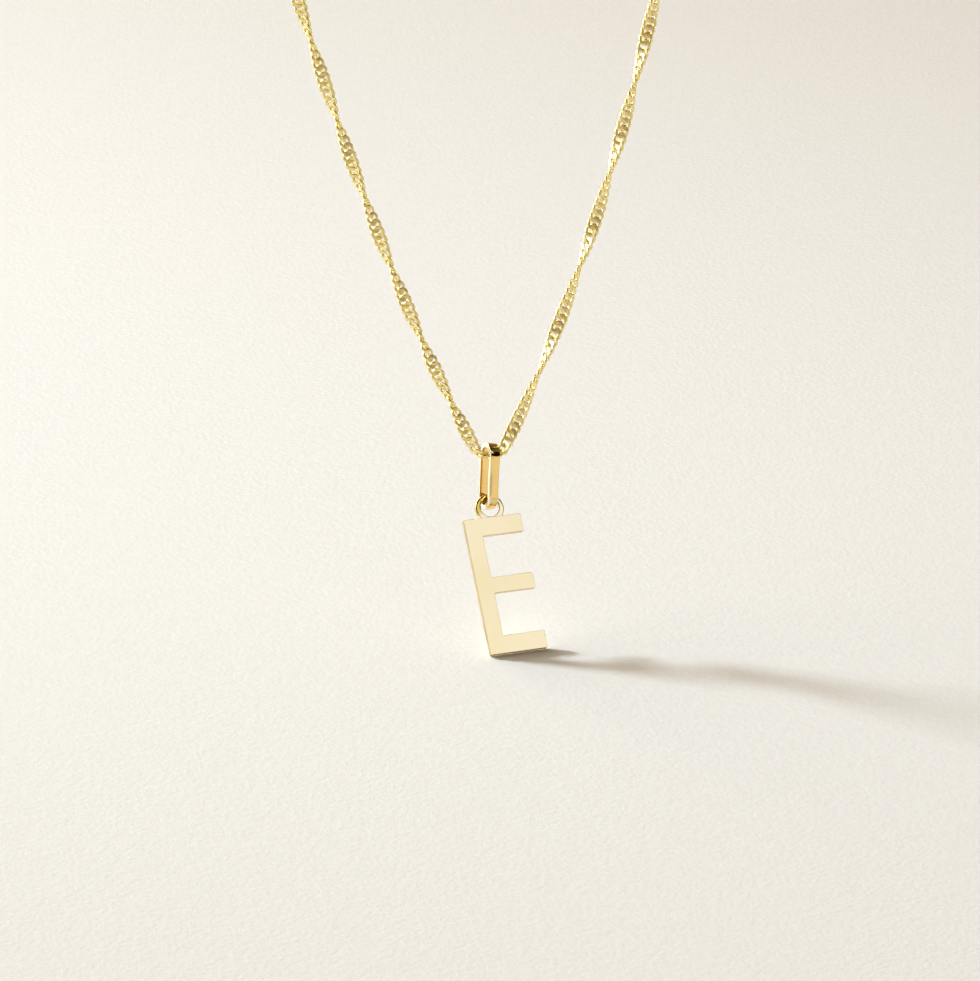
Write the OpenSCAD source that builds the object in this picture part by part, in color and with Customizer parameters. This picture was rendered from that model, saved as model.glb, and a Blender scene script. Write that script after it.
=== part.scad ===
// Gold necklace with a flat initial E on an elongated ribbon bail.
// The origin is at the nape, under the clasp. +Z is up and -Y is the front.

/* [Necklace] */
// length of the chain with its clasp, once round
necklace_length = 450; // [400:5:500]
// round envelope of the twisted links
chain_d = 0.8; // [0.7:0.02:0.84]
// lean of the loop's plane, top to the back
chain_lean = 17; // [0:1:25]
// slope of each arm at the pendant, from level
arm_slope = 62; // [50:1:70]
// pull along the arms over the weight of a millimetre of chain
arm_tension = 22.2; // [18:0.2:30]
// radius of the bend inside the bail
bend_r = 1.5; // [1.4:0.1:2]
// drift of the arms to the right, for each millimetre of height
arm_drift = 0.055; // [0:0.005:0.06]

/* [Letter] */
// height of the letter without its ring
letter_h = 12; // [9:0.5:16]
// width of the letter
letter_w = 5.15; // [4:0.05:8]
// width of the stem
stem_w = 1.45; // [1:0.05:2]
// height of the top bar
top_bar = 1.6; // [1:0.05:2]
// height of the middle bar
middle_bar = 1.4; // [1:0.05:2]
// height of the bottom bar
bottom_bar = 1.55; // [1:0.05:2]
// underside of the middle bar above the letter's foot
middle_rise = 5.32; // [4.6:0.02:5.6]
// thickness of the sheet
sheet_t = 0.45; // [0.3:0.05:0.5]
// bore of the ring on top
ring_bore = 1.55; // [1.45:0.05:1.8]
// wall of that ring
ring_wall = 0.5; // [0.35:0.05:0.5]
// centre of the ring above the letter's top edge
ring_rise = 0.81; // [0.7:0.01:1.1]
// lean of the letter, top to the back
letter_lean = 38; // [0:1:45]
// turn of the letter about the vertical
letter_turn = 7.5; // [0:0.5:10]

/* [Bail] */
// outer length of the bail
bail_l = 5.76; // [5:0.02:8]
// outer depth of the bail, front to back
bail_depth = 2.3; // [2.2:0.05:3]
// width of the ribbon
ribbon_w = 0.95; // [0.7:0.05:1]
// thickness of the ribbon
ribbon_t = 0.4; // [0.25:0.05:0.4]
// turn of the bail on the chain
bail_turn = 16; // [0:1:18]
// sideways tilt of the bail in the loop's plane
bail_tilt = 6; // [0:1:8]

/* [Clasp] */
// outer diameter of the clasp
clasp_d = 5.4; // [4.5:0.1:7]
// wire of the clasp
clasp_wire = 0.9; // [0.7:0.05:1.1]
// outer diameter of the clasp's eye
eye_d = 1.8; // [1.6:0.1:2.4]
// outer diameter of the end ring
end_ring_d = 3.2; // [2.8:0.1:4]
// wire of the eye and of the end ring
ring_wire = 0.5; // [0.4:0.05:0.55]

/* [Clearances] */
// play between the letter's ring and the bail's bend
ring_seat = 0.3; // [0.25:0.01:0.36]
// sideways slip of the letter's ring on the ribbon, to the left
ring_slip = 0.14; // [0:0.02:0.16]
// gap between the chain's ends, the rings and the clasp
end_gap = 0.1; // [0.05:0.05:0.2]

/* [Hidden] */
$fn = 64;
chain_sides = 8;

// Arms of the loop: an arc inside the bail, a hanging curve with the pendant's
// pull at its foot, and an arc over the top that makes up the length.
load_run = arm_tension * tan(arm_slope);
function grow(q) = sqrt(pow(arm_tension, 2) + pow(q + load_run, 2));
function rise(q) = grow(q) - grow(0);
function spread(q) = arm_tension * ln((q + load_run + grow(q)) / (load_run + grow(0)));
function tip(q) = atan(arm_tension / (q + load_run));
bend_x = bend_r * sin(arm_slope);
bend_s = bend_r * (1 - cos(arm_slope));
bend_run = bend_r * arm_slope * PI / 180;
function top_r(q) = (bend_x + spread(q)) / cos(tip(q));
function top_run(q) = top_r(q) * (90 + tip(q)) * PI / 180;
function settle(q, n) = n == 0 ? q : settle(necklace_length / 2 - bend_run - top_run(q), n - 1);
arm_run = settle(necklace_length / 3, 12);
nape_r = top_r(arm_run);
nape_s = bend_s + rise(arm_run) + nape_r * sin(tip(arm_run));
loop_h = nape_s + nape_r;

// Clasp and end ring along the top, from left to right.
clasp_r = clasp_d / 2;
clasp_mid_r = clasp_r - clasp_wire / 2;
eye_mid_r = (eye_d - ring_wire) / 2;
end_mid_r = (end_ring_d - ring_wire) / 2;
eye_x = -clasp_r - eye_mid_r + ring_wire / 2;
end_x = clasp_mid_r + end_mid_r - clasp_wire / 2 - ring_wire / 2 - end_gap;
chain_left_x = eye_x - eye_d / 2 - end_gap;
chain_right_x = end_x + end_ring_d / 2 + end_gap;
clasp_x = -(chain_left_x + chain_right_x) / 2;
chain_end_x = (chain_right_x - chain_left_x) / 2;

// Places of the two hinges. The arch of the bail is round the chain's lowest
// point, and the letter's ring turns in the bend at the bail's foot.
drop = loop_h - clasp_r;
bail_reach = bail_l - bail_depth;
function about_x(a, p) = [p[0], p[1] * cos(a) - p[2] * sin(a), p[1] * sin(a) + p[2] * cos(a)];
function about_y(a, p) = [p[0] * cos(a) + p[2] * sin(a), p[1], p[2] * cos(a) - p[0] * sin(a)];
function about_z(a, p) = [p[0] * cos(a) - p[1] * sin(a), p[0] * sin(a) + p[1] * cos(a), p[2]];
foot_of_bail = about_z(bail_turn, about_y(bail_tilt, [0, 0, -bail_reach])) - [0, 0, drop];
letter_hinge = about_x(-chain_lean, foot_of_bail);

// Route of the chain in the loop's plane: stations are [x, height, direction],
// the height from the chain's lowest point and the direction from level.
bend_steps = 4;
arm_steps = 22;
nape_steps = 10;
last_turn = 90 - asin(chain_end_x / nape_r);
function bend_at(a) = [bend_r * sin(a), bend_r * (1 - cos(a)), a];
function arm_at(q) = [bend_x + spread(q), bend_s + rise(q), 90 - tip(q)];
function nape_at(a) = [nape_r * cos(a), nape_s + nape_r * sin(a), 90 + a];
right_arm = concat(
    [for (i = [1 : bend_steps]) bend_at(arm_slope * i / bend_steps)],
    [for (i = [1 : arm_steps]) arm_at(arm_run * pow(i / arm_steps, 1.5))],
    [for (i = [1 : nape_steps]) nape_at((last_turn + tip(arm_run)) * i / nape_steps - tip(arm_run))]
);
arm_count = len(right_arm);
left_arm = [for (i = [arm_count - 1 : -1 : 0]) [-right_arm[i][0], right_arm[i][1], -right_arm[i][2]]];
route = concat(left_arm, [bend_at(0)], right_arm);
function drift(s) = arm_drift * s * pow(1 - s / loop_h, 2);

module ring(mid_r, wire) {
    rotate_extrude() translate([mid_r, 0]) circle(d = wire);
}

// Sweeps a polygon along the route. Each section stands across its station.
module chain() {
    points = [for (p = route) for (k = [0 : chain_sides - 1])
        let (a = 360 * (k + 0.5) / chain_sides, out = chain_d / 2 * cos(a))
        [p[0] + drift(p[1]) - out * sin(p[2]), chain_d / 2 * sin(a), p[1] + out * cos(p[2])]];
    last = len(route) - 1;
    walls = [for (i = [0 : last - 1]) for (k = [0 : chain_sides - 1])
        let (a = i * chain_sides + k, b = i * chain_sides + (k + 1) % chain_sides)
        [a, b, b + chain_sides, a + chain_sides]];
    first_cap = [for (k = [chain_sides - 1 : -1 : 0]) k];
    last_cap = [for (k = [0 : chain_sides - 1]) last * chain_sides + k];
    color("#c9a83c") rotate([-chain_lean, 0, 0]) translate([0, 0, -drop])
        polyhedron(points, concat([first_cap, last_cap], walls));
}

module ribbon_outline(inset) {
    r = bail_depth / 2 - inset;
    circle(r = r);
    translate([0, -bail_reach]) circle(r = r);
    translate([-r, -bail_reach]) square([2 * r, bail_reach]);
}

module bail() {
    color("#d9a93a") rotate([-chain_lean, 0, 0]) translate([0, 0, -drop])
        rotate([0, 0, bail_turn]) rotate([0, bail_tilt, 0])
            rotate([90, 0, 90]) linear_extrude(height = ribbon_w, center = true)
                difference() {
                    ribbon_outline(0);
                    ribbon_outline(ribbon_t);
                }
}

// Bars of the letter: [underside above the foot, height].
bars = [
    [0, bottom_bar],
    [middle_rise, middle_bar],
    [letter_h - top_bar, top_bar],
];

// Flat letter with the centre of its ring at the origin.
module letter_outline() {
    top = -ring_rise;
    left = -letter_w / 2;
    difference() {
        union() {
            translate([left, top - letter_h]) square([stem_w, letter_h]);
            for (bar = bars)
                translate([left, top - letter_h + bar[0]]) square([letter_w, bar[1]]);
            circle(d = ring_bore + 2 * ring_wall);
        }
        circle(d = ring_bore);
    }
}

module letter() {
    color("#f0dca8") translate(letter_hinge) rotate([-letter_lean, 0, letter_turn])
        translate([-ring_slip, 0, -ring_seat - ring_bore / 2])
            rotate([90, 0, 0]) linear_extrude(height = sheet_t, center = true) letter_outline();
}

module clasp() {
    color("#d4ab45") rotate([-chain_lean, 0, 0]) translate([clasp_x, 0, clasp_r]) rotate([90, 0, 0]) {
        ring(clasp_mid_r, clasp_wire);
        translate([eye_x, 0, 0]) ring(eye_mid_r, ring_wire);
    }
}

module end_ring() {
    color("#d4ab45") rotate([-chain_lean, 0, 0]) translate([clasp_x + end_x, 0, clasp_r])
        ring(end_mid_r, ring_wire);
}

chain();
bail();
letter();
clasp();
end_ring();
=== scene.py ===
import math

import bmesh
import bpy
import numpy as np
from mathutils import Matrix, Vector


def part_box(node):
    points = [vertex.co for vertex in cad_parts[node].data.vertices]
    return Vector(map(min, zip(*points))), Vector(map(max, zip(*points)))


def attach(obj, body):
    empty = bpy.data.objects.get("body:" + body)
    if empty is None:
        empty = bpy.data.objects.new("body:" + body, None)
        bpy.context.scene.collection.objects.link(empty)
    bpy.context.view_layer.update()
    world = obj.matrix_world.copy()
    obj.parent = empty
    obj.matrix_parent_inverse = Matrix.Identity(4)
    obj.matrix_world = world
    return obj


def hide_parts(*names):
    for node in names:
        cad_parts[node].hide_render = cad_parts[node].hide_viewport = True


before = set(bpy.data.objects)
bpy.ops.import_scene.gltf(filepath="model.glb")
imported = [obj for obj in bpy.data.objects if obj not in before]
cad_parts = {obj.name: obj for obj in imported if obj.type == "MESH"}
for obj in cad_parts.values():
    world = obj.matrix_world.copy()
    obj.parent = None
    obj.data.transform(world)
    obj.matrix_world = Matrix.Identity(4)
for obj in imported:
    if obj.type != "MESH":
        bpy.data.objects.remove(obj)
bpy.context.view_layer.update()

# Camera. A long lens at arm's length looks down on the pendant from the front
# and a little from its left. The chain's arms run out of the top of the frame.
mm = 0.001
aim = Vector((-0.21, -58.66, -190.97)) * mm
arms_length = 420
looks_down = math.radians(22.5)
from_left = math.radians(11)
to_viewer = Vector(
    (
        -math.cos(looks_down) * math.sin(from_left),
        -math.cos(looks_down) * math.cos(from_left),
        math.sin(looks_down),
    )
)
lens = bpy.data.cameras.new("camera")
lens.sensor_fit = "HORIZONTAL"
lens.sensor_width = 36
lens.lens = 180
camera = bpy.data.objects.new("camera", lens)
camera.location = aim + to_viewer * arms_length * mm
camera.rotation_mode = "QUATERNION"
camera.rotation_quaternion = to_viewer.to_track_quat("Z", "Y")
bpy.context.scene.collection.objects.link(camera)
bpy.context.scene.camera = camera

# Floor. A round sheet of warm white paper that the letter's foot rests on. It
# is part of the studio and not of the necklace.
floor_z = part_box("letter")[0][2]
paper_r = 0.35
rim_points = 96
paper_light = (0.891, 0.876, 0.85, 1)
paper_deep = (0.867, 0.851, 0.824, 1)
fibres_per_metre = 2200
clumps_per_metre = 900
fibre_height = 0.1 * mm


def in_scene(name, mesh):
    """Puts a mesh or a curve in the scene, as a piece at the origin."""
    piece = bpy.data.objects.new(name, mesh)
    bpy.context.scene.collection.objects.link(piece)
    return piece


def node_tools(tree):
    """Short calls for adding a node and for joining two sockets."""

    def add(kind, **settings):
        node = tree.nodes.new(kind)
        for name, value in settings.items():
            setattr(node, name, value)
        return node

    return add, tree.links.new


rim = [2 * math.pi * i / rim_points for i in range(rim_points)]
paper_mesh = bpy.data.meshes.new("floor")
paper_mesh.from_pydata(
    [(paper_r * math.cos(turn), aim.y + paper_r * math.sin(turn), floor_z) for turn in rim],
    [],
    [tuple(range(rim_points))],
)
floor = in_scene("floor", paper_mesh)
paper = bpy.data.materials.new("warm_white_paper")
paper.use_nodes = True
add, join = node_tools(paper.node_tree)
coat = paper.node_tree.nodes["Principled BSDF"]
coat.inputs["Roughness"].default_value = 0.75
coat.inputs["Specular IOR Level"].default_value = 0.2
place = add("ShaderNodeTexCoord")
fibres = add("ShaderNodeTexNoise")
fibres.inputs["Scale"].default_value = fibres_per_metre
fibres.inputs["Detail"].default_value = 4
pulp = add("ShaderNodeTexNoise")
pulp.inputs["Scale"].default_value = clumps_per_metre
pulp.inputs["Detail"].default_value = 3
shade = add("ShaderNodeValToRGB")
shade.color_ramp.elements[0].position = 0.25
shade.color_ramp.elements[0].color = paper_deep
shade.color_ramp.elements[1].position = 0.75
shade.color_ramp.elements[1].color = paper_light
grain = add("ShaderNodeBump")
grain.inputs["Strength"].default_value = 0.3
grain.inputs["Distance"].default_value = fibre_height
join(place.outputs["Object"], fibres.inputs["Vector"])
join(place.outputs["Object"], pulp.inputs["Vector"])
join(pulp.outputs["Fac"], shade.inputs["Fac"])
join(shade.outputs["Color"], coat.inputs["Base Color"])
join(fibres.outputs["Fac"], grain.inputs["Height"])
join(grain.outputs["Normal"], coat.inputs["Normal"])
floor.data.materials.append(paper)

# Chain. Curb links of round gold wire, each bent out of its plane where it
# crosses its neighbours, twisted into a turning ribbon and cut flat on both
# faces. A small round link at each end joins it to the eye and the end ring.
necklace_length = 450 * mm
chain_lean = math.radians(17)
arm_slope = math.radians(62)
arm_tension = 22.2 * mm
bend_r = 1.5 * mm
arm_drift = 0.055
clasp_d = 5.4 * mm
clasp_wire = 0.9 * mm
eye_d = 1.8 * mm
end_ring_d = 3.2 * mm
ring_wire = 0.5 * mm
end_gap = 0.1 * mm
link_pitch = 0.63 * mm
link_length = 0.945 * mm
link_width = 0.97 * mm
link_rise = 0.15 * mm
link_wire = 0.3 * mm
link_cut = 0.145 * mm
end_link_r = 0.65 * mm
end_link_seat = 0.1 * mm
end_link_reach = 0.81 * mm
link_points = 14
end_link_points = 16
wire_sides = 6
flat_from = 0.97
settling_rounds = 12
route_points = 18001
small_step = 0.1 * mm
load_run = arm_tension * math.tan(arm_slope)


# Each arm is an arc inside the bail, a hanging curve with the pendant's pull at
# its foot, and an arc over the top that makes up the length.
def grow(run):
    """Pull on the chain that far up the hanging curve, as a length of chain."""
    return math.hypot(arm_tension, run + load_run)


def spread(run):
    """How far outwards the hanging curve has come there."""
    return arm_tension * math.log((run + load_run + grow(run)) / (load_run + grow(0)))


def tip(run):
    """The chain's angle from the upright there."""
    return math.atan(arm_tension / (run + load_run))


bend_x = bend_r * math.sin(arm_slope)
bend_s = bend_r * (1 - math.cos(arm_slope))
bend_run = bend_r * arm_slope
# The hanging curve's length is settled in rounds, until the three stretches
# make up half the necklace.
arm_run = necklace_length / 3
for _ in range(settling_rounds):
    nape_r = (bend_x + spread(arm_run)) / math.cos(tip(arm_run))
    arm_run = necklace_length / 2 - bend_run - nape_r * (math.pi / 2 + tip(arm_run))
nape_r = (bend_x + spread(arm_run)) / math.cos(tip(arm_run))
nape_s = bend_s + grow(arm_run) - grow(0) + nape_r * math.sin(tip(arm_run))
loop_h = nape_s + nape_r
drop = loop_h - clasp_d / 2
eye_x = -clasp_d / 2 - (eye_d - ring_wire) / 2 + ring_wire / 2
end_x = (clasp_d - clasp_wire) / 2 + (end_ring_d - ring_wire) / 2 - (clasp_wire + ring_wire) / 2 - end_gap
left_x = eye_x - eye_d / 2 - end_gap
right_x = end_x + end_ring_d / 2 + end_gap
clasp_x = -(left_x + right_x) / 2


def arm_point(run):
    """Place on the right arm in the loop's plane: across, and up from the lowest point."""
    if run < bend_run:
        return bend_r * math.sin(run / bend_r), bend_r * (1 - math.cos(run / bend_r))
    if run < bend_run + arm_run:
        run -= bend_run
        return bend_x + spread(run), bend_s + grow(run) - grow(0)
    turn = (run - bend_run - arm_run) / nape_r - tip(arm_run)
    return nape_r * math.cos(turn), nape_s + nape_r * math.sin(turn)


def hung(points):
    """Leans points of the loop's plane back, with the nape at the origin."""
    across, out, up = np.asarray(points, float).T
    up = up - drop
    lean, rise = math.sin(chain_lean), math.cos(chain_lean)
    return np.stack([across, out * rise + up * lean, up * rise - out * lean], 1)


runs = np.linspace(-necklace_length / 2, necklace_length / 2, route_points)
arm = np.array([arm_point(abs(run)) for run in runs])
across = np.sign(runs) * arm[:, 0] + arm_drift * arm[:, 1] * (1 - arm[:, 1] / loop_h) ** 2
line = hung(np.stack([across, 0 * across, arm[:, 1]], 1))
arc = np.concatenate([[0], np.cumsum(np.linalg.norm(np.diff(line, axis=0), axis=1))])
arc -= np.interp(0, runs, arc)
# The end links hold the wire of the eye and of the end ring, and stand across
# both.
eye_wire_x = clasp_x + eye_x - (eye_d - ring_wire) / 2
end_wire_x = clasp_x + end_x + (end_ring_d - ring_wire) / 2
end_link_angles = [math.pi / 2, 0]


def arc_at(x):
    """Distance along the chain from the bail to the place beside the clasp at x."""
    side = (arm[:, 1] > nape_s) & (runs * x > 0)
    order = np.argsort(across[side])
    return np.interp(x, across[side][order], arc[side][order])


end_seats = [arc_at(eye_wire_x - end_link_seat), arc_at(end_wire_x + end_link_seat)]
start = end_seats[0] + end_link_reach
stop = end_seats[1] - end_link_reach
links = round((stop - start) / link_pitch) + 1
seats = np.linspace(start, stop, links)
# How the ribbon turns: the distance from the bail along the chain, and the
# angle of the links' width from the loop's plane.
twist = {
    "arc": [start / mm, -39.05, -32.05, -25.05, -18.6, -11.91, -6, 0, 8.5, 18.15, 26.75, 34.65, stop / mm],
    "angle": [4860, 982.5, 802.5, 622.5, 442.5, 262.5, 82.5, -104, -258.4, -438.4, -618.4, -798.4, -4590],
}
angle = np.radians(np.interp(seats / mm, twist["arc"], twist["angle"]))
angle = np.concatenate([angle, end_link_angles])[:, None]
seats = np.concatenate([seats, end_seats])
last = np.arange(len(seats)) >= links


def on_line(distance):
    """Places on the chain's line, by their distance from the bail along it."""
    return np.stack([np.interp(distance, arc, line[:, k]) for k in range(3)], 1)


centre = on_line(seats)
along = on_line(seats + small_step) - on_line(seats - small_step)
along /= np.linalg.norm(along, axis=1)[:, None]
outward = np.array([0, -math.cos(chain_lean), math.sin(chain_lean)])
sideways = np.cross(along, outward)
width = np.cos(angle) * sideways + np.sin(angle) * outward
seat_mesh = bpy.data.meshes.new("chain")
seat_mesh.from_pydata([tuple(p) for p in centre], [], [])
for name, values in (("along", along), ("width", width)):
    column = seat_mesh.attributes.new(name, "FLOAT_VECTOR", "POINT")
    column.data.foreach_set("vector", np.asarray(values, np.float32).ravel())
seat_mesh.attributes.new("end link", "BOOLEAN", "POINT").data.foreach_set("value", last)
chain = in_scene("chain_links", seat_mesh)


def gold(name, light, deep, roughness, patch, scratch):
    """Polished gold: its colour drifts a little over patches, and fine polishing
    marks break the shine. patch and scratch are sizes in metres."""
    smoothest = 0.7 * roughness
    dullest = 1.4 * roughness
    scratch_depth = 0.2 * scratch
    drawn_out = (1, 1, 0.15)
    metal = bpy.data.materials.new(name)
    metal.use_nodes = True
    add, join = node_tools(metal.node_tree)
    shine = metal.node_tree.nodes["Principled BSDF"]
    shine.inputs["Metallic"].default_value = 1
    place = add("ShaderNodeTexCoord")
    patches = add("ShaderNodeTexNoise")
    patches.inputs["Scale"].default_value = 1 / patch
    patches.inputs["Detail"].default_value = 3
    tint = add("ShaderNodeValToRGB")
    tint.color_ramp.elements[0].position = 0.35
    tint.color_ramp.elements[0].color = (*deep, 1)
    tint.color_ramp.elements[1].position = 0.65
    tint.color_ramp.elements[1].color = (*light, 1)
    stretch = add("ShaderNodeMapping")
    stretch.inputs["Scale"].default_value = drawn_out
    marks = add("ShaderNodeTexNoise")
    marks.inputs["Scale"].default_value = 1 / scratch
    marks.inputs["Detail"].default_value = 4
    dull = add("ShaderNodeMapRange")
    dull.inputs["From Min"].default_value = 0.3
    dull.inputs["From Max"].default_value = 0.7
    dull.inputs["To Min"].default_value = smoothest
    dull.inputs["To Max"].default_value = dullest
    grain = add("ShaderNodeBump")
    grain.inputs["Strength"].default_value = 0.05
    grain.inputs["Distance"].default_value = scratch_depth
    join(place.outputs["Object"], patches.inputs["Vector"])
    join(place.outputs["Object"], stretch.inputs["Vector"])
    join(stretch.outputs["Vector"], marks.inputs["Vector"])
    join(patches.outputs["Fac"], tint.inputs["Fac"])
    join(tint.outputs["Color"], shine.inputs["Base Color"])
    join(marks.outputs["Fac"], dull.inputs["Value"])
    join(dull.outputs["Result"], shine.inputs["Roughness"])
    join(marks.outputs["Fac"], grain.inputs["Height"])
    join(grain.outputs["Normal"], shine.inputs["Normal"])
    return metal


link_gold = gold(
    "diamond_cut_gold",
    light=(1.0, 0.88, 0.46),
    deep=(0.95, 0.81, 0.35),
    roughness=0.37,
    patch=1.2 * mm,
    scratch=0.12 * mm,
)

link_sizes = {
    "Link length": link_length,
    "Link width": link_width,
    "Rise at the crossings": link_rise,
    "Wire": link_wire,
    "Cut above the middle": link_cut,
    "End link radius": end_link_r,
}
tree = bpy.data.node_groups.new("curb_links", "GeometryNodeTree")
tree.is_modifier = True
tree.interface.new_socket("Geometry", in_out="INPUT", socket_type="NodeSocketGeometry")
for name in link_sizes:
    tree.interface.new_socket(name, in_out="INPUT", socket_type="NodeSocketFloat")
tree.interface.new_socket("Metal", in_out="INPUT", socket_type="NodeSocketMaterial")
tree.interface.new_socket("Geometry", in_out="OUTPUT", socket_type="NodeSocketGeometry")
add, join = node_tools(tree)
sizes = add("NodeGroupInput")
result = add("NodeGroupOutput")
# One link: a circle of wire is stretched, bent out of its plane and cut flat.
bow = add("GeometryNodeCurvePrimitiveCircle")
bow.inputs["Resolution"].default_value = link_points
bow.inputs["Radius"].default_value = 1
spot = add("GeometryNodeInputPosition")
apart = add("ShaderNodeSeparateXYZ")
join(spot.outputs[0], apart.inputs[0])


def multiply(a, b):
    """A node that multiplies two sockets, or a socket and a number."""
    node = add("ShaderNodeMath", operation="MULTIPLY")
    for socket, value in zip(node.inputs, (a, b)):
        if isinstance(value, (int, float)):
            socket.default_value = value
        else:
            join(value, socket)
    return node.outputs[0]


shape = add("ShaderNodeCombineXYZ")
join(multiply(multiply(apart.outputs["X"], sizes.outputs["Link length"]), 0.5), shape.inputs["X"])
join(multiply(multiply(apart.outputs["Y"], sizes.outputs["Link width"]), 0.5), shape.inputs["Y"])
# Twice the product of the two makes two highs and two lows round the link, so
# that it passes over each neighbour on one side and under it on the other.
wave = multiply(multiply(apart.outputs["X"], apart.outputs["Y"]), -2)
join(multiply(wave, sizes.outputs["Rise at the crossings"]), shape.inputs["Z"])
bent = add("GeometryNodeSetPosition")
join(bow.outputs["Curve"], bent.inputs["Geometry"])
join(shape.outputs[0], bent.inputs["Position"])
section = add("GeometryNodeCurvePrimitiveCircle")
section.inputs["Resolution"].default_value = wire_sides
join(multiply(sizes.outputs["Wire"], 0.5), section.inputs["Radius"])
wire = add("GeometryNodeCurveToMesh")
join(bent.outputs["Geometry"], wire.inputs["Curve"])
join(section.outputs["Curve"], wire.inputs["Profile Curve"])
flat = add("GeometryNodeSetPosition")
again = add("GeometryNodeInputPosition")
parts = add("ShaderNodeSeparateXYZ")
join(again.outputs[0], parts.inputs[0])
cut = add("ShaderNodeClamp")
join(parts.outputs["Z"], cut.inputs["Value"])
join(multiply(sizes.outputs["Cut above the middle"], -1), cut.inputs["Min"])
join(sizes.outputs["Cut above the middle"], cut.inputs["Max"])
level = add("ShaderNodeCombineXYZ")
join(parts.outputs["X"], level.inputs["X"])
join(parts.outputs["Y"], level.inputs["Y"])
join(cut.outputs[0], level.inputs["Z"])
join(wire.outputs["Mesh"], flat.inputs["Geometry"])
join(level.outputs[0], flat.inputs["Position"])
# The cut faces stay flat and crisp, and the rest of the wire is round.
facet = add("GeometryNodeInputNormal")
tilt = add("ShaderNodeSeparateXYZ")
join(facet.outputs[0], tilt.inputs[0])
steep = add("ShaderNodeMath", operation="ABSOLUTE")
join(tilt.outputs["Z"], steep.inputs[0])
round_part = add("FunctionNodeCompare", data_type="FLOAT", operation="LESS_THAN")
round_part.inputs["B"].default_value = flat_from
join(steep.outputs[0], round_part.inputs["A"])
rounded_wire = add("GeometryNodeSetShadeSmooth")
join(flat.outputs["Geometry"], rounded_wire.inputs["Geometry"])
join(round_part.outputs["Result"], rounded_wire.inputs["Shade Smooth"])
# An end link: a plain round ring of the same wire.
hoop = add("GeometryNodeCurvePrimitiveCircle")
hoop.inputs["Resolution"].default_value = end_link_points
join(sizes.outputs["End link radius"], hoop.inputs["Radius"])
round_wire = add("GeometryNodeCurveToMesh")
join(hoop.outputs["Curve"], round_wire.inputs["Curve"])
join(section.outputs["Curve"], round_wire.inputs["Profile Curve"])
# The links on their seats, each turned by the direction and width kept there.
facing = add("FunctionNodeAlignRotationToVector", axis="X")
turned = add("FunctionNodeAlignRotationToVector", axis="Y", pivot_axis="X")
for name, node in (("along", facing), ("width", turned)):
    column = add("GeometryNodeInputNamedAttribute", data_type="FLOAT_VECTOR")
    column.inputs["Name"].default_value = name
    join(column.outputs["Attribute"], node.inputs["Vector"])
join(facing.outputs["Rotation"], turned.inputs["Rotation"])
seats_in = add("GeometryNodeMeshToPoints")
join(sizes.outputs["Geometry"], seats_in.inputs["Mesh"])
is_last = add("GeometryNodeInputNamedAttribute", data_type="BOOLEAN")
is_last.inputs["Name"].default_value = "end link"
is_between = add("FunctionNodeBooleanMath", operation="NOT")
join(is_last.outputs["Attribute"], is_between.inputs[0])
whole = add("GeometryNodeJoinGeometry")
for link, chosen in (
    (rounded_wire.outputs["Geometry"], is_between.outputs["Boolean"]),
    (round_wire.outputs["Mesh"], is_last.outputs["Attribute"]),
):
    placed = add("GeometryNodeInstanceOnPoints")
    join(seats_in.outputs["Points"], placed.inputs["Points"])
    join(chosen, placed.inputs["Selection"])
    join(link, placed.inputs["Instance"])
    join(turned.outputs["Rotation"], placed.inputs["Rotation"])
    join(placed.outputs["Instances"], whole.inputs["Geometry"])
real = add("GeometryNodeRealizeInstances")
join(whole.outputs["Geometry"], real.inputs["Geometry"])
dressed = add("GeometryNodeSetMaterial")
join(real.outputs["Geometry"], dressed.inputs["Geometry"])
join(sizes.outputs["Metal"], dressed.inputs["Material"])
join(dressed.outputs["Geometry"], result.inputs["Geometry"])

threading = chain.modifiers.new("curb_links", "NODES")
threading.node_group = tree
identifiers = {item.name: item.identifier for item in tree.interface.items_tree if item.in_out == "INPUT"}
for name, size in link_sizes.items():
    threading[identifiers[name]] = size
threading[identifiers["Metal"]] = link_gold


def finished(piece):
    """A plain mesh of a piece as its modifiers leave it."""
    return bpy.data.meshes.new_from_object(piece.evaluated_get(bpy.context.evaluated_depsgraph_get()))


made = finished(chain)
chain.modifiers.remove(threading)
chain.data = made
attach(chain, "necklace")
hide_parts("chain")

# Bail. A long loop bent from flat gold ribbon, slightly domed outside and
# soldered closed. Its arch hangs on the chain, and its foot holds the ring.
bail_l = 5.76 * mm
bail_depth = 2.3 * mm
ribbon_w = 0.95 * mm
ribbon_t = 0.4 * mm
bail_turn = math.radians(16)
bail_tilt = math.radians(6)
dome = 0.02 * mm
inner_corner = 0.05 * mm
worn_corner = 0.2 * mm
spared = 0.15 * mm
spared_l = 1.4 * mm
corner_points = 5
bend_steps = 32
leg_steps = 12
bail_reach = bail_l - bail_depth
hang = Matrix.Rotation(-chain_lean, 4, "X") @ Matrix.Translation((0, 0, -drop))
on_chain = hang @ Matrix.Rotation(bail_turn, 4, "Z") @ Matrix.Rotation(bail_tilt, 4, "Y")

half_w = ribbon_w / 2
inner = bail_depth / 2 - ribbon_t
outer = bail_depth / 2


def ribbon_section(bevel):
    """The ribbon's section as distances from its middle and from the loop's middle
    line. The outer corners are rounded by the bevel."""
    eased_in = 0.3 * inner_corner
    half = [(0, inner), (0.5 * half_w, inner), (half_w - inner_corner, inner)]
    half += [(half_w - eased_in, inner + eased_in), (half_w, inner + inner_corner)]
    for turn in np.linspace(0, math.pi / 2, corner_points):
        x = half_w - bevel * (1 - math.cos(turn))
        half.append((x, outer - dome - bevel * (1 - math.sin(turn))))
    half += [(0.5 * (half_w - bevel), outer - 0.25 * dome), (0, outer)]
    return half + [(-x, r) for x, r in half[-2:0:-1]]


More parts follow.
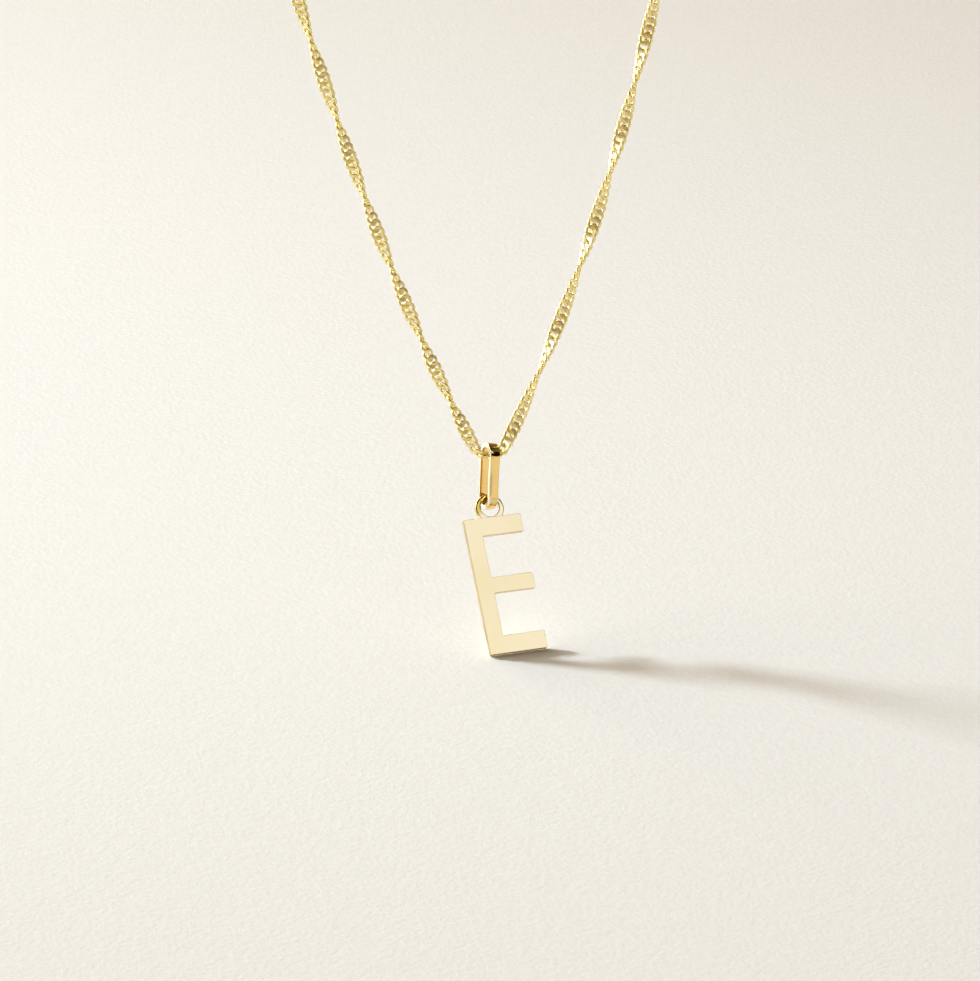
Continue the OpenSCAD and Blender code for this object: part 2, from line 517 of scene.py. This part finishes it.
def sharpness(depth):
    """How far the edges are left sharp on a leg, that far below the arch."""
    return max(0, 1 - depth / spared_l)


# Stations round the loop, from the front of the arch over it and back: the turn
# about the bend, the height of the bend's centre, and how far the edges are
# left sharp there.
half_turn = [math.pi * i / bend_steps for i in range(bend_steps + 1)]
leg = [bail_reach * i / leg_steps for i in range(1, leg_steps)]
stations = [(turn, 0, 1) for turn in half_turn]
stations += [(math.pi, -depth, sharpness(depth)) for depth in leg]
stations += [(math.pi + turn, -bail_reach, 0) for turn in half_turn]
stations += [(2 * math.pi, -depth, sharpness(depth)) for depth in reversed(leg)]
points = [
    (x, -r * math.cos(turn), level + r * math.sin(turn))
    for turn, level, sharp in stations
    for x, r in ribbon_section(worn_corner - spared * sharp)
]
count = len(ribbon_section(worn_corner))
faces = [
    (i * count + k, i * count + (k + 1) % count, j * count + (k + 1) % count, j * count + k)
    for i in range(len(stations))
    for j in [(i + 1) % len(stations)]
    for k in range(count)
]


def faced_out(mesh, weld=None):
    """Turns a closed mesh's faces outwards, once points within weld are joined."""
    shell = bmesh.new()
    shell.from_mesh(mesh)
    if weld:
        bmesh.ops.remove_doubles(shell, verts=shell.verts, dist=weld)
    bmesh.ops.recalc_face_normals(shell, faces=shell.faces)
    shell.to_mesh(mesh)
    shell.free()


def smooth_shell(name, points, faces):
    """A closed, smooth mesh with its faces pointing out."""
    mesh = bpy.data.meshes.new(name)
    mesh.from_pydata(points, [], faces)
    faced_out(mesh)
    for polygon in mesh.polygons:
        polygon.use_smooth = True
    return mesh


bail_mesh = smooth_shell("bail", points, faces)
# The ribbon's narrow sides get a paler gold, a painted highlight.
for polygon in bail_mesh.polygons:
    polygon.material_index = int(abs(polygon.normal.x) > 0.5)
bail_mesh.transform(on_chain)
bail = in_scene("bail_ribbon", bail_mesh)
ribbon_gold = gold(
    "deep_polished_gold",
    light=(0.92, 0.71, 0.34),
    deep=(0.85, 0.64, 0.27),
    roughness=0.05,
    patch=2.5 * mm,
    scratch=0.25 * mm,
)
bail.data.materials.append(ribbon_gold)
# Paler gold for the narrow sides: a painted highlight of the light from the left.
side_highlight_gold = gold(
    "painted_highlight_edge_gold",
    light=(1.0, 0.93, 0.72),
    deep=(0.98, 0.9, 0.66),
    roughness=0.2,
    patch=2.5 * mm,
    scratch=0.25 * mm,
)
bail.data.materials.append(side_highlight_gold)
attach(bail, "bail")
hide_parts("bail")

# Letter. An initial sawn from one flat sheet of pale gold together with the
# ring on its top edge, its corners eased and its face polished like a mirror.
letter_h = 12 * mm
letter_w = 5.15 * mm
stem_w = 1.45 * mm
top_bar = 1.6 * mm
middle_bar = 1.4 * mm
bottom_bar = 1.55 * mm
middle_rise = 5.32 * mm
sheet_t = 0.45 * mm
ring_bore = 1.55 * mm
ring_wall = 0.5 * mm
ring_rise = 0.81 * mm
letter_lean = math.radians(38)
letter_turn = math.radians(7.5)
ring_seat = 0.3 * mm
ring_slip = 0.14 * mm
eased = 0.025 * mm
corner_r = 0.1 * mm
ring_sunk = 0.01 * mm
top_fullness = 2.1
foot_squaring = 2
ring_steps = 72
section_steps = 24
crease = math.radians(35)
face_slot, edge_slot, ring_slot = 0, 1, 2

# The outline, down the right side of the bars and back up the stem.
bars = {"underside": [0, middle_rise, letter_h - top_bar], "height": [bottom_bar, middle_bar, top_bar]}
top_edge = -ring_rise
foot = top_edge - letter_h
west, east = -letter_w / 2, letter_w / 2
stem_side = west + stem_w
corners = []
for bar in (2, 1, 0):
    underside = foot + bars["underside"][bar]
    corners += [(east, underside + bars["height"][bar]), (east, underside)]
    if bar > 0:
        bar_below = foot + bars["underside"][bar - 1] + bars["height"][bar - 1]
        corners += [(stem_side, underside), (stem_side, bar_below)]
corners += [(west, foot), (west, top_edge)]


def rounded(corners, radius, steps=4):
    """The same outline with each corner turned on a small radius."""
    path = []
    for i, here in enumerate(corners):
        before, after = Vector(corners[i - 1]), Vector(corners[(i + 1) % len(corners)])
        here = Vector(here)
        a, b = (before - here).normalized() * radius, (after - here).normalized() * radius
        for n in range(steps + 1):
            t = n / steps
            path.append(tuple(here + a * (1 - t) ** 2 + b * t**2))
    return path


outline = rounded(corners, corner_r)
sheet = bpy.data.curves.new("letter", "CURVE")
sheet.dimensions = "2D"
sheet.fill_mode = "BOTH"
sheet.extrude = sheet_t / 2 - eased
sheet.bevel_depth = eased
sheet.bevel_resolution = 2
sheet.offset = -eased
spline = sheet.splines.new("POLY")
spline.points.add(len(outline) - 1)
for point, (x, y) in zip(spline.points, outline):
    point.co = (x, y, 0, 1)
spline.use_cyclic_u = True
cut_sheet = in_scene("letter", sheet)
letter_mesh = finished(cut_sheet)
bpy.data.objects.remove(cut_sheet)
faced_out(letter_mesh, weld=1e-7)
for polygon in letter_mesh.polygons:
    polygon.material_index = edge_slot if abs(polygon.normal.z) < 0.5 else face_slot


def squashed(turn, half_width, half_height, fullness):
    """A point of a rounded section: an oval at fullness 2, squarer above it."""
    c, s = math.cos(turn), math.sin(turn)
    return (
        half_width * math.copysign(abs(c) ** (2 / fullness), c),
        half_height * math.copysign(abs(s) ** (2 / fullness), s),
    )


crest = sheet_t / 2 - ring_sunk
ring_middle = (ring_bore + ring_wall) / 2
ring_points = []
# The ring is round where it turns in the bail and flat where it joins the letter.
for turn in np.linspace(0, 2 * math.pi, ring_steps, endpoint=False):
    fullness = top_fullness + foot_squaring * (1 - math.sin(turn)) ** 2
    for k in range(section_steps):
        x, z = squashed(2 * math.pi * k / section_steps, ring_wall / 2, crest, fullness)
        ring_points.append(((ring_middle + x) * math.cos(turn), (ring_middle + x) * math.sin(turn), z))
ring_faces = [
    (
        i * section_steps + k,
        (i + 1) % ring_steps * section_steps + k,
        (i + 1) % ring_steps * section_steps + (k + 1) % section_steps,
        i * section_steps + (k + 1) % section_steps,
    )
    for i in range(ring_steps)
    for k in range(section_steps)
]
ring_mesh = smooth_shell("letter_ring", ring_points, ring_faces)
for polygon in ring_mesh.polygons:
    polygon.material_index = ring_slot
hinge = on_chain @ Vector((0, 0, -bail_reach))
in_bail = (
    Matrix.Translation(hinge)
    @ Matrix.Rotation(letter_turn, 4, "Z")
    @ Matrix.Rotation(-letter_lean, 4, "X")
    @ Matrix.Translation((-ring_slip, 0, -ring_seat - ring_bore / 2))
    @ Matrix.Rotation(math.pi / 2, 4, "X")
)
# The ring is pale like the sheet. Its upper left, where it turns in the bail,
# gets a deeper gold, a painted reflection of the bail in the ring.
ring_gold = gold(
    "pale_ring_gold",
    light=(0.99, 0.92, 0.74),
    deep=(0.97, 0.89, 0.68),
    roughness=0.07,
    patch=2 * mm,
    scratch=0.3 * mm,
)
# Deeper gold at the upper left: a painted reflection of the bail.
bail_reflection_gold = (0.78, 0.6, 0.19, 1)
reflection_begins = 0.2 * mm
reflection_full = 0.7 * mm
up_left = Vector((-0.7, 0, 0.7))
add, join = node_tools(ring_gold.node_tree)
shine = ring_gold.node_tree.nodes["Principled BSDF"]
pale = shine.inputs["Base Color"].links[0].from_socket
place = add("ShaderNodeTexCoord")
reach = add("ShaderNodeVectorMath", operation="DOT_PRODUCT")
reach.inputs[1].default_value = up_left
painted_reflection = add("ShaderNodeMapRange", interpolation_type="SMOOTHSTEP")
painted_reflection.inputs["From Min"].default_value = up_left.dot(in_bail.translation) + reflection_begins
painted_reflection.inputs["From Max"].default_value = up_left.dot(in_bail.translation) + reflection_full
blend = add("ShaderNodeMix", data_type="RGBA")
blend.inputs["B"].default_value = bail_reflection_gold
join(place.outputs["Object"], reach.inputs[0])
join(reach.outputs["Value"], painted_reflection.inputs["Value"])
join(painted_reflection.outputs["Result"], blend.inputs["Factor"])
join(pale, blend.inputs["A"])
join(blend.outputs["Result"], shine.inputs["Base Color"])
face_gold = gold(
    "pale_mirror_gold",
    light=(0.96, 0.88, 0.65),
    deep=(0.93, 0.84, 0.57),
    roughness=0.05,
    patch=5 * mm,
    scratch=0.3 * mm,
)
# The sawn edges have a rougher satin finish, and a darker colour that is painted shade.
sawn_shade_gold = gold(
    "sawn_edge_painted_shade_gold",
    light=(0.76, 0.6, 0.34),
    deep=(0.64, 0.48, 0.24),
    roughness=0.35,
    patch=1.5 * mm,
    scratch=0.1 * mm,
)
letter = in_scene("letter_sheet", letter_mesh)
soldered_ring = in_scene("letter_ring", ring_mesh)
for piece in (letter, soldered_ring):
    slots = [polygon.material_index for polygon in piece.data.polygons]
    piece.data.materials.clear()
    for metal in (face_gold, sawn_shade_gold, ring_gold):
        piece.data.materials.append(metal)
    piece.data.polygons.foreach_set("material_index", slots)
solder = letter.modifiers.new("solder", "BOOLEAN")
solder.operation = "UNION"
solder.solver = "EXACT"
solder.object = soldered_ring
letter_mesh = finished(letter)
letter.modifiers.remove(solder)
bpy.data.objects.remove(soldered_ring)
letter_mesh.set_sharp_from_angle(angle=crease)
for polygon in letter_mesh.polygons:
    polygon.use_smooth = polygon.material_index == ring_slot
letter_mesh.transform(in_bail)
letter.data = letter_mesh
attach(letter, "letter")
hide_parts("letter")

# Clasp and end ring. A spring ring with a small eye soldered to its side, and
# a plain ring of wire on the other end of the chain that it clips into.
clasp_gold = gold(
    "clasp_gold",
    light=(0.92, 0.74, 0.38),
    deep=(0.84, 0.65, 0.3),
    roughness=0.12,
    patch=2.5 * mm,
    scratch=0.25 * mm,
)
for name in ("clasp", "end_ring"):
    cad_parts[name].data.materials.clear()
    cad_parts[name].data.materials.append(clasp_gold)

# Light. A small lamp low on the left and a little behind throws the long thin
# shadow to the right. A diffuser round it, a panel in front and pale walls
# light the rest, with a dark stretch between them that the gold mirrors.
pendant = Vector((0, -60, -195)) * mm
lamp_spot = Vector((-30, 24, 0)) * mm


def shine_from(name, direction, distance, shape, size, power, colour, beside=(0, 0, 0), grid=180):
    """A flat light in the given direction from the pendant. It faces the pendant, or
    a spot beside it, and a grid keeps its light within an angle."""
    data = bpy.data.lights.new(name, "AREA")
    data.shape = shape
    data.size, data.size_y = size
    data.energy = power
    data.color = colour
    data.spread = math.radians(grid)
    light = bpy.data.objects.new(name, data)
    light.location = pendant + Vector(direction).normalized() * distance
    light.rotation_mode = "QUATERNION"
    light.rotation_quaternion = (light.location - pendant - Vector(beside)).to_track_quat("Z", "Y")
    bpy.context.scene.collection.objects.link(light)


shine_from(
    "low_lamp",
    direction=(-0.697, 0.602, 0.383),
    distance=1.5,
    shape="DISK",
    size=(0.2, 0.2),
    power=0.92,
    colour=(0.72, 0.84, 0.935),
    beside=lamp_spot,
    grid=30,
)
shine_from(
    "diffuser",
    direction=(-0.66, 0.59, 0.45),
    distance=1.5,
    shape="RECTANGLE",
    size=(1.8, 0.8),
    power=23.5,
    colour=(1, 0.89, 0.75),
)
shine_from(
    "front_panel",
    direction=(0.37, -0.54, 0.76),
    distance=0.6,
    shape="RECTANGLE",
    size=(0.3, 0.26),
    power=0.205,
    colour=(1, 0.985, 0.96),
)

# The walls by their height, from the pendant's level up to the ceiling, and a
# black flag that shades a round patch of them in front on the right. Its soft
# edge lies between two cosines of the angle from its middle.
wall_colour = (0.95, 0.86, 0.7, 1)
ceiling_colour = (0.06, 0.04, 0.02, 1)
bands = {
    "height": [0.17, 0.32, 0.72, 0.85],
    "colour": [(0.95, 0.85, 0.68, 1), (0.26, 0.185, 0.1, 1), (0.17, 0.12, 0.06, 1), (0.06, 0.04, 0.02, 1)],
}
to_flag = (0.702, -0.549, 0.454)
flag_outer_edge = 0.945
flag_inner_edge = 0.96
left_by_flag = 0.03
sky = bpy.data.worlds.new("studio")
sky.use_nodes = True
bpy.context.scene.world = sky
add, join = node_tools(sky.node_tree)
backdrop = sky.node_tree.nodes["Background"]
direction = add("ShaderNodeTexCoord")
height = add("ShaderNodeSeparateXYZ")
glow = add("ShaderNodeValToRGB")
glow.color_ramp.elements[0].position = 0
glow.color_ramp.elements[0].color = wall_colour
glow.color_ramp.elements[1].position = 1
glow.color_ramp.elements[1].color = ceiling_colour
for at, colour in zip(bands["height"], bands["colour"]):
    glow.color_ramp.elements.new(at).color = colour
flag = add("ShaderNodeVectorMath", operation="DOT_PRODUCT")
flag.inputs[1].default_value = to_flag
edge_of_flag = add("ShaderNodeMapRange")
edge_of_flag.inputs["From Min"].default_value = flag_outer_edge
edge_of_flag.inputs["From Max"].default_value = flag_inner_edge
edge_of_flag.inputs["To Min"].default_value = 1
edge_of_flag.inputs["To Max"].default_value = left_by_flag
shaded = add("ShaderNodeVectorMath", operation="SCALE")
join(direction.outputs["Generated"], height.inputs[0])
join(direction.outputs["Generated"], flag.inputs[0])
join(flag.outputs["Value"], edge_of_flag.inputs["Value"])
join(height.outputs["Z"], glow.inputs["Fac"])
join(glow.outputs["Color"], shaded.inputs[0])
join(edge_of_flag.outputs["Result"], shaded.inputs["Scale"])
join(shaded.outputs["Vector"], backdrop.inputs["Color"])
bpy.context.scene.view_settings.view_transform = "Standard"
